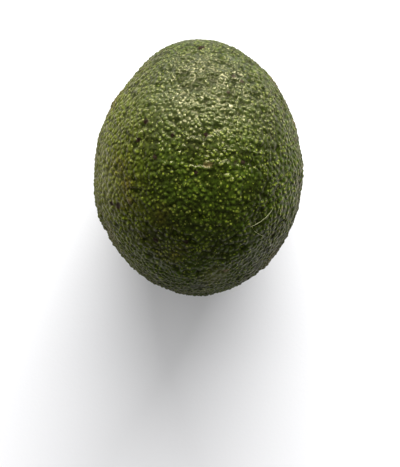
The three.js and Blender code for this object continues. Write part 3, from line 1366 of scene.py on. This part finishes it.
@dataclass
class Fruit:
    """The whole fruit, as one fine mesh.

    Attributes:
        steps: how finely the mesh is cut, for a point about every 0.45 mm.
        form: its plain form.
        relief: the pebbles.
        finish: the rind.
        stray_blemishes: how many blemishes are drawn, of which those out of the
            photograph's sight are kept.
        stray_sizes: lowest and highest radius of each kind of them, in millimetres.
        seed: for their places.
        shift: its move along the floor, in metres, once built.
        points: places of its mesh, in metres, once built.
    """

    steps: int = 96
    form: FruitForm = field(default_factory=FruitForm)
    relief: PebbledRelief = field(default_factory=PebbledRelief)
    finish: WaxyRind = field(default_factory=WaxyRind)
    stray_blemishes: int = 70
    stray_sizes: tuple[tuple[float, float], ...] = ((0.6, 1.3), (0.9, 2.2), (4.0, 9.0))
    seed: int = 905
    shift: np.ndarray = field(init=False)
    points: np.ndarray = field(init=False)

    def build(self) -> bpy.types.Object:
        """Builds and dresses the fruit.

        Returns:
            The piece, in place and with its material.
        """
        directions, faces = sphere_net(self.steps)
        plain = self.form.base(directions)
        outward = self.form.outward(directions)
        heights, valley = self.relief.heights(directions, plain)
        heights += self.form.broad_height(directions)
        heights += fold_height(self.form.laid_down(plain), SEEN_FOLDS)
        points = self.form.laid_down(plain + outward * heights[:, None])
        self.shift = self.to_cad(points)
        points += self.shift
        points[:, 2] = np.maximum(points[:, 2], 0.0)
        self.points = points

        piece = mesh_object("pebbled_rind", points, faces)
        self.write_point_marks(piece.data, directions, points, valley)
        self.write_pebbles(piece.data, faces, self.relief.warped(plain))
        piece.data.materials.append(self.finish.make())
        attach(piece, BODY)
        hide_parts("fruit")
        log.info("rind: %d faces, %d pebbles", len(faces), self.relief.count)
        return piece

    def to_cad(self, points: np.ndarray) -> np.ndarray:
        """How far the points have to move along the floor to lie over the CAD fruit.

        Args:
            points: places in metres.

        Returns:
            The move, in metres.
        """
        low, high = (np.array(corner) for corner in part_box("fruit"))
        middle = (points.min(0) + points.max(0)) / 2
        move = (low + high) / 2 - middle
        return np.array([move[0], move[1], 0.0])

    def write_point_marks(
        self, mesh: bpy.types.Mesh, directions: np.ndarray, points: np.ndarray, valley: np.ndarray
    ) -> None:
        """Stores the valleys and the blemishes on the mesh's points.

        Args:
            mesh: the fruit's mesh.
            directions: the points' directions.
            points: their places, in metres.
            valley: 0 on a crown to 1 in a valley.
        """
        marks = np.zeros((len(points), 4))
        seen = seen_at(points)
        upper = points[:, 2] > VIEW.outline_height
        for blemish in SEEN_BLEMISHES:
            away = np.hypot(*(seen - (blemish.x, blemish.y)).T) + np.where(upper, 0.0, 1e3)
            self.add_mark(marks, points, points[int(np.argmin(away))], blemish)

        rng = np.random.default_rng(self.seed)
        places = rng.normal(size=(self.stray_blemishes, 3))
        places /= np.linalg.norm(places, axis=1, keepdims=True)
        out_of_sight = places[places[:, 2] < 0.25]
        four_specks_to_a_scar = [0, 0, 0, 0, 1, 2]
        for place in out_of_sight:
            kind = BlemishKind(int(rng.choice(four_specks_to_a_scar)))
            radius = rng.uniform(*self.stray_sizes[kind.value])
            blemish = Blemish(kind, 0, 0, radius, rng.uniform(0.6, 1.0))
            self.add_mark(marks, points, points[int(np.argmax(directions @ place))], blemish)

        # cork round the stem in a warm ring, and a speck at the blossom's pole
        stem, blossom = self.form.from_stem(directions), self.form.from_blossom(directions)
        marks[:, 1] = np.maximum(marks[:, 1], 1.1 * ease(5.4, 3.6, stem))
        marks[:, 2] = np.maximum(marks[:, 2], 0.8 * ease(9.5, 5.0, stem))
        marks[:, 0] = np.maximum(marks[:, 0], 0.9 * ease(1.3, 0.4, blossom))

        mesh.attributes.new("valley", "FLOAT", "POINT").data.foreach_set("value", valley)
        mesh.attributes.new("marks", "FLOAT_COLOR", "POINT").data.foreach_set("color", marks.ravel())

    def add_mark(
        self, marks: np.ndarray, points: np.ndarray, middle: np.ndarray, blemish: Blemish
    ) -> None:
        """Adds one blemish to the marks.

        Args:
            marks: the marks of all points, which this changes.
            points: the points' places, in metres.
            middle: the blemish's middle, in metres.
            blemish: its kind and size.
        """
        away = np.linalg.norm(points - middle, axis=1) / MM
        shown = blemish.strength * ease(1.5 * blemish.radius, 0.3 * blemish.radius, away)
        channel = blemish.kind.value
        marks[:, channel] = np.maximum(marks[:, channel], shown)

    def write_pebbles(self, mesh: bpy.types.Mesh, faces: np.ndarray, warped: np.ndarray) -> None:
        """Stores on each face's corners how far its pebble's crown is, and the pebble's traits.

        Args:
            mesh: the fruit's mesh.
            faces: point numbers of its faces.
            warped: the points, drawn aside as the pebbles are.
        """
        middles = warped[faces].mean(1)
        own = np.array([self.relief.tree.find(p)[1] for p in middles.tolist()])
        offsets = warped[faces] - self.relief.middles[own][:, None, :]
        traits = np.repeat(self.relief.traits[own], 3, axis=0)
        corner = mesh.attributes.new("from_crown", "FLOAT_VECTOR", "CORNER")
        corner.data.foreach_set("vector", offsets.ravel())
        colour = mesh.attributes.new("traits", "FLOAT_COLOR", "CORNER")
        colour.data.foreach_set("color", traits.ravel())


@dataclass
class ClingingFibre:
    """A fine fibre that clings to the skin, lying over the pebbles' crowns.

    Attributes:
        name: the piece's name.
        path: three places of the picture that it bends past, in millimetres to the
            right of and above the fruit's middle.
        width: its width, in millimetres.
        stations: cross-sections along it.
        sides: corners of a cross-section.
        rest_reach: how near a crown has to be to bear it, in millimetres.
        stiffness: over how many stations to each side it evens out the crowns.
        finish: dry fibre.
    """

    name: str
    path: tuple[tuple[float, float], tuple[float, float], tuple[float, float]]
    width: float = 0.17
    stations: int = 48
    sides: int = 6
    rest_reach: float = 0.45
    stiffness: int = 4
    finish: StrawFibre = field(default_factory=StrawFibre)

    def build(self, skin: np.ndarray) -> bpy.types.Object:
        """Builds and dresses the fibre.

        Args:
            skin: places of the fruit's mesh, in metres.

        Returns:
            The piece, in place and with its material.
        """
        middles = self.middles(skin)
        ahead = np.gradient(middles, axis=0)
        ahead /= np.linalg.norm(ahead, axis=1, keepdims=True)
        aside = np.cross(ahead, (0.0, 0.0, 1.0))
        aside /= np.linalg.norm(aside, axis=1, keepdims=True)
        over = np.cross(aside, ahead)
        share = np.linspace(0.0, 1.0, self.stations)
        radius = self.width / 2 * MM * np.clip(6 * share * (1 - share), 0.15, 1.0)
        turn = np.arange(self.sides) / self.sides * 2 * math.pi
        rings = middles[:, None] + radius[:, None, None] * (
            np.cos(turn)[:, None] * aside[:, None] + np.sin(turn)[:, None] * over[:, None]
        )
        n, last = self.sides, (self.stations - 1) * self.sides
        faces = [
            (row + a, row + (a + 1) % n, row + n + (a + 1) % n, row + n + a)
            for row in range(0, last, n)
            for a in range(n)
        ]
        faces += [tuple(range(n))[::-1], tuple(range(last, last + n))]

        piece = mesh_object(self.name, rings.reshape(-1, 3), faces)
        piece.data.materials.append(self.finish.make())
        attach(piece, BODY)
        log.info("%s: %d faces", self.name, len(faces))
        return piece

    def middles(self, skin: np.ndarray) -> np.ndarray:
        """Where the fibre runs, on the crowns it passes.

        Args:
            skin: places of the fruit's mesh, in metres.

        Returns:
            One place a station, in metres.
        """
        start, bend, end = (np.array(place) for place in self.path)
        share = np.linspace(0.0, 1.0, self.stations)[:, None]
        pulled = 2 * bend - (start + end) / 2
        seen = (1 - share) ** 2 * start + 2 * share * (1 - share) * pulled + share**2 * end

        upper = skin[skin[:, 2] > VIEW.outline_height]
        places = seen_at(upper)
        tops = np.array([
            upper[np.hypot(*(places - place).T) < self.rest_reach, 2].max(initial=0.0) for place in seen
        ])
        span = 2 * self.stiffness + 1
        evened = np.convolve(np.pad(tops, self.stiffness, "edge"), np.ones(span) / span, "valid")
        height = np.maximum(evened, tops) + self.width / 4 * MM
        eye = np.array(VIEW.eye)
        aimed = np.column_stack([seen * MM, np.full(len(seen), VIEW.outline_height)]) - eye
        return eye + aimed * ((height - eye[2]) / aimed[:, 2])[:, None]


@dataclass
class StemButton:
    """The dry button of the stem in its hollow, in millimetres.

    Attributes:
        profile: radius and height over its underside, from the middle of the
            underside round the rim to the middle of the broken top.
        sides: points round it.
        rows: points along the profile.
        air: gap under its middle.
        wobble: how far from round it is, as a share of its radius.
        rise: how far its rough wood stands up or in.
        bumps: how many rough bumps there are in a millimetre.
        cracks: how many cracks run out from the middle.
        crack_depth: how deep they are.
        smooth_below: height under which it is neither rough nor cracked.
        seed: for its unevenness.
        finish: dry wood.
    """

    profile: tuple[tuple[float, float], ...] = (
        (0, 0), (2.6, 0), (3.5, 0.2), (3.7, 0.5), (3.35, 0.8), (2.75, 0.95),
        (2.6, 1.2), (2.4, 1.4), (1.7, 1.45), (0.9, 1.2), (0, 1.05),
    )  # fmt: skip
    sides: int = 144
    rows: int = 44
    air: float = 0.05
    wobble: float = 0.05
    rise: float = 0.10
    bumps: float = 2.2
    cracks: int = 9
    crack_depth: float = 0.30
    smooth_below: float = 0.15
    seed: int = 61
    finish: DryStem = field(default_factory=DryStem)

    def build(self, form: FruitForm, shift: np.ndarray) -> bpy.types.Object:
        """Builds and dresses the button.

        Args:
            form: the fruit's form.
            shift: the fruit's move along the floor, in metres.

        Returns:
            The piece, in place and with its material.
        """
        radii, heights = self.fine_profile()
        radius, height = radii[1:-1], heights[1:-1]
        turn = np.arange(self.sides) / self.sides * 2 * math.pi
        ring = 1 + self.wobble * (np.sin(3 * turn + 0.7) + 0.5 * np.sin(7 * turn))
        around = np.stack([np.cos(turn), np.sin(turn)], 1)
        grid_r = radius[:, None] * ring
        crack = self.crack_shares(turn, radius / radii.max(), height)
        rough = np.array([
            noise.noise((r * c * self.bumps, h * self.bumps, r * s * self.bumps + 40))
            for r, h in zip(radius, height)
            for c, s in around
        ])
        uneven = self.rise * rough.reshape(grid_r.shape) - self.crack_depth * crack
        grid_h = height[:, None] + uneven * (height[:, None] > self.smooth_below)
        grid = np.stack([grid_r * around[:, 0], grid_h, grid_r * around[:, 1]], 2).reshape(-1, 3)
        ends = np.array([[0, heights[0], 0], [0, heights[-1], 0]])
        local = np.concatenate([grid, ends])
        local[:, 0] += form.lean
        local[:, 1] += form.half_sizes[1] - form.hollow_depth + self.air
        points = form.laid_down(local) + shift

        piece = mesh_object("stem_button_wood", points, self.faces(len(radius)))
        depth = piece.data.attributes.new("crack", "FLOAT", "POINT")
        depth.data.foreach_set("value", np.concatenate([crack.ravel(), [0.0, 0.4]]))
        piece.data.materials.append(self.finish.make())
        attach(piece, BODY)
        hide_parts("stem_button")
        log.info("stem button: %d faces", len(piece.data.polygons))
        return piece

    def fine_profile(self) -> tuple[np.ndarray, np.ndarray]:
        """The profile with its corners eased and evenly spaced points."""
        corners = np.array(self.profile, float)
        for _ in range(2):
            cut = np.stack(
                [0.75 * corners[:-1] + 0.25 * corners[1:], 0.25 * corners[:-1] + 0.75 * corners[1:]], 1
            ).reshape(-1, 2)
            corners = np.concatenate([corners[:1], cut[1:-1], corners[-1:]])
        steps = np.concatenate([[0], np.cumsum(np.hypot(*np.diff(corners, axis=0).T))])
        even = np.linspace(0, steps[-1], self.rows)
        return np.interp(even, steps, corners[:, 0]), np.interp(even, steps, corners[:, 1])

    def crack_shares(self, turn: np.ndarray, out: np.ndarray, height: np.ndarray) -> np.ndarray:
        """How deep the cracks are at each point of the grid.

        Args:
            turn: angles round the button.
            out: each row's radius, as a share of the largest.
            height: each row's height.

        Returns:
            0 on sound wood to 1 in a crack, by row and angle.
        """
        rng = random.Random(self.seed)
        depth = np.zeros((len(out), len(turn)))
        for number in range(self.cracks):
            at = 2 * math.pi * (number + rng.uniform(-0.3, 0.3)) / self.cracks
            start, width = rng.uniform(0.15, 0.6), rng.uniform(0.05, 0.11)
            bend = at + 0.25 * np.sin(5 * out[:, None] + number)
            away = np.abs((turn[None, :] - bend + math.pi) % (2 * math.pi) - math.pi)
            line = np.exp(-((away / width) ** 2)) * ease(start, start + 0.15, out)[:, None]
            depth = np.maximum(depth, line)
        return depth * (height > self.smooth_below)[:, None]

    def faces(self, rows: int) -> list[tuple[int, ...]]:
        """Joins the grid's rows and its two ends.

        Args:
            rows: rows of the grid.

        Returns:
            Vertex numbers of each face, turned outwards.
        """
        n = self.sides
        ring = [(i, (i + 1) % n) for i in range(n)]
        walls = [
            (row * n + a, row * n + b, (row + 1) * n + b, (row + 1) * n + a)
            for row in range(rows - 1)
            for a, b in ring
        ]
        under, top, last = rows * n, rows * n + 1, (rows - 1) * n
        return walls + [(under, b, a) for a, b in ring] + [(top, last + a, last + b) for a, b in ring]


FIBRES = (
    ClingingFibre("clinging_fibre", ((25.1, -13.4), (21.9, -17.2), (17.0, -20.0))),
    ClingingFibre("clinging_fibre_short", ((18.4, -20.8), (20.4, -22.3), (22.6, -23.0)), 0.10, 24),
)


# The studio


@dataclass(frozen=True)
class SoftLight:
    """A flat light behind white cloth, aimed at the fruit.

    Attributes:
        name: the light's name.
        azimuth: from +Y towards +X, in degrees.
        elevation: over the floor, in degrees.
        size: its sides, in metres.
        power: in watts.
        distance: from the fruit, in metres.
    """

    name: str
    azimuth: float
    elevation: float
    size: tuple[float, float]
    power: float
    distance: float = 1.1

    def build(self) -> bpy.types.Object:
        """Hangs the light."""
        light = bpy.data.lights.new(self.name, "AREA")
        light.shape = "RECTANGLE"
        light.size, light.size_y = self.size
        light.energy = self.power
        lamp = link(bpy.data.objects.new(self.name, light))
        turn = Matrix.Rotation(math.radians(-self.azimuth), 3, "Z")
        rise = Matrix.Rotation(math.radians(self.elevation), 3, "X")
        towards = turn @ rise @ Vector((0, 1, 0))
        lamp.location = towards * self.distance + Vector((0, 0, VIEW.outline_height))
        lamp.rotation_euler = towards.to_track_quat("Z", "Y").to_euler()
        return lamp


@dataclass(frozen=True)
class Studio:
    """A white floor, a wide soft light with a long thin one below it, and a camera overhead.

    Attributes:
        floor_size: side of the floor, in metres.
        floor_drop: how far it lies under the fruit, so that the two don't touch, in metres.
        lights: the lights.
        room: brightness of the room, from its walls to its ceiling, by the height of
            the way one looks.
    """

    floor_size: float = 6.0
    floor_drop: float = 1e-4
    lights: tuple[SoftLight, ...] = (
        SoftLight("wide_softbox", -4.0, 40.0, (4.0, 1.0), 16.5),
        SoftLight("strip", 9.0, 23.0, (1.20, 0.07), 38.0, 1.05),
    )
    room: Span = Span(0.0, 0.65, 0.24, 0.44)

    def build_floor(self) -> bpy.types.Object:
        """Lays the floor."""
        half = self.floor_size / 2
        ways = ((-1, -1), (1, -1), (1, 1), (-1, 1))
        corners = np.array([(x * half, y * half, -self.floor_drop) for x, y in ways])
        floor = mesh_object("studio_floor", corners, [(0, 1, 2, 3)])
        floor.data.materials.append(WhiteAcrylic().make())
        return floor

    def build_surround(self) -> None:
        """Makes the room, dim at the walls and paler at the ceiling."""
        world = bpy.data.worlds.new("pale_room")
        world.use_nodes = True
        world.node_tree.nodes.clear()
        add = partial(add_node, world.node_tree)
        towards = add("TexCoord").outputs["Generated"]
        height = add("SeparateXYZ", {0: towards}).outputs["Z"]
        bright = add("MapRange", self.room.of(height), **SMOOTH).outputs[0]
        glow = add("Background", {"Strength": bright, "Color": linear("ffffff")})
        add("OutputWorld", {"Surface": glow.outputs[0]})
        bpy.context.scene.world = world

    def build_camera(self) -> bpy.types.Object:
        """Sets the camera where the photograph was taken from."""
        lens = bpy.data.cameras.new("camera")
        lens.sensor_fit = "AUTO"
        lens.sensor_width = 36.0
        lens.lens = lens.sensor_width * VIEW.distance / VIEW.frame_height
        camera = link(bpy.data.objects.new("camera", lens))
        camera.location = VIEW.eye
        camera.rotation_euler = (0.0, 0.0, 0.0)
        bpy.context.scene.camera = camera
        return camera

    def build(self) -> None:
        """Builds the studio."""
        self.build_camera()
        self.build_floor()
        for light in self.lights:
            light.build()
        self.build_surround()
        bpy.context.scene.view_settings.view_transform = "Standard"
        log.info("studio: %d lights", len(self.lights))


def main() -> None:
    """Builds the studio, the fruit, its stem button and the fibres on its skin."""
    logging.basicConfig(level=logging.INFO, format="%(name)s: %(message)s")
    Studio().build()
    fruit = Fruit()
    fruit.build()
    StemButton().build(fruit.form, fruit.shift)
    for fibre in FIBRES:
        fibre.build(fruit.points)


if __name__ == "__main__":
    main()
